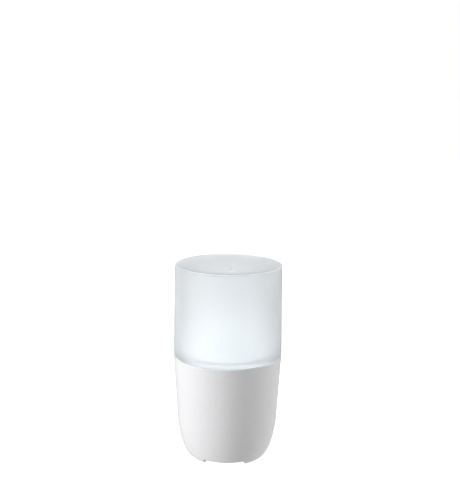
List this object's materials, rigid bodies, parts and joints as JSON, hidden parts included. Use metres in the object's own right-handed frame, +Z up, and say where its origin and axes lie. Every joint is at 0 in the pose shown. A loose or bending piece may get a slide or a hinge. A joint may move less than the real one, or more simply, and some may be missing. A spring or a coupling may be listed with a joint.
{
  "type": "cool mist humidifier",
  "caption": "Table-top cool mist humidifier: a lift-off frosted lamp cover with a dished top and mist outlet over a tapered white base holding the tank, fan and electronics.",
  "frame": {"origin": "centre of the body on the surface that it stands on", "axes": "+Z up along the body's axis, -Y towards the front, +Y towards the power inlet and the buttons"},
  "size_m": [0.09, 0.09, 0.161],
  "materials": {
    "frosted_cover": "frosted translucent plastic, lit from inside",
    "frosted_lid": "satin translucent white plastic",
    "tank_white": "satin white polypropylene",
    "housing_white": "gloss white moulded plastic",
    "plate_white": "fine-textured white plastic",
    "seal_rubber": "soft grey silicone rubber",
    "pad_rubber": "soft dark rubber",
    "screw_steel": "zinc-plated steel",
    "probe_steel": "polished stainless steel",
    "retainer_metal": "stamped aluminium",
    "piezo": "piezo ceramic with a metal face",
    "board_green": "green solder mask over glass-fibre board",
    "led_package": "white package with a yellow lens",
    "fan_black": "black moulded plastic",
    "copper_coil": "enamelled copper winding",
    "bronze_bush": "sintered bronze",
    "magnet": "bonded ferrite",
    "chip_black": "black moulded epoxy",
    "capacitor_sleeve": "dark blue shrink sleeve",
    "ferrite": "dark ferrite with a wound coil",
    "sink_aluminium": "extruded aluminium",
    "connector_ivory": "ivory nylon",
    "jack_black": "black moulded plastic",
    "pin_metal": "nickel-plated brass",
    "button_white": "satin light grey-white plastic",
    "lead_red": "red insulated wire",
    "lead_black": "black insulated wire",
    "lead_white": "white insulated wire"
  },
  "bodies": {
    "base": {"water_tank": "tank_white", "tank_seal": "seal_rubber", "level_probes": "probe_steel", "transducer_disc": "piezo", "transducer_gasket": "seal_rubber", "transducer_retainer": "retainer_metal", "retainer_screws": "screw_steel", "lamp_board": "board_green", "leds": "led_package", "lamp_board_screws": "screw_steel", "base_housing": "housing_white", "foot_pads": "pad_rubber", "bottom_plate": "plate_white", "bottom_screws": "screw_steel", "fan_gasket": "seal_rubber", "fan_frame": "fan_black", "fan_bearing": "bronze_bush", "fan_stator": "copper_coil", "fan_screws": "screw_steel", "main_board": "board_green", "main_board_screws": "screw_steel", "inductor": "ferrite", "capacitors": "capacitor_sleeve", "power_transistor": "chip_black", "heat_sink": "sink_aluminium", "driver_chip": "chip_black", "connectors": "connector_ivory", "dc_jack": "jack_black", "dc_jack_pin": "pin_metal", "button_board": "board_green", "button_board_screws": "screw_steel", "tact_switches": "chip_black", "transducer_lead": "lead_red", "fan_lead": "lead_black", "lamp_lead": "lead_white", "button_lead": "lead_white"},
    "mist_lid": {"mist_lid": "frosted_lid"},
    "cover": {"cover": "frosted_cover"},
    "fan_rotor": {"fan_rotor": "fan_black", "fan_magnet": "magnet", "fan_shaft": "probe_steel"},
    "mist_button": {"mist_button": "button_white"},
    "light_button": {"light_button": "button_white"}
  },
  "joints": [
    {"name": "lid_lift", "type": "slide", "parent": "base", "child": "mist_lid", "axis": [0, 0, 1], "range_m": [0, 0.03]},
    {"name": "cover_lift", "type": "slide", "parent": "mist_lid", "child": "cover", "axis": [0, 0, 1], "range_m": [0, 0.08]},
    {"name": "fan_spin", "type": "hinge", "parent": "base", "child": "fan_rotor", "pos_m": [0, 0, 0.012], "axis": [0, 0, 1], "continuous": true},
    {"name": "mist_button_press", "type": "slide", "parent": "base", "child": "mist_button", "axis": [0, -1, 0], "range_m": [0, 0.0008], "stiffness_N_per_m": 1500},
    {"name": "light_button_press", "type": "slide", "parent": "base", "child": "light_button", "axis": [0, -1, 0], "range_m": [0, 0.0008], "stiffness_N_per_m": 1500}
  ]
}
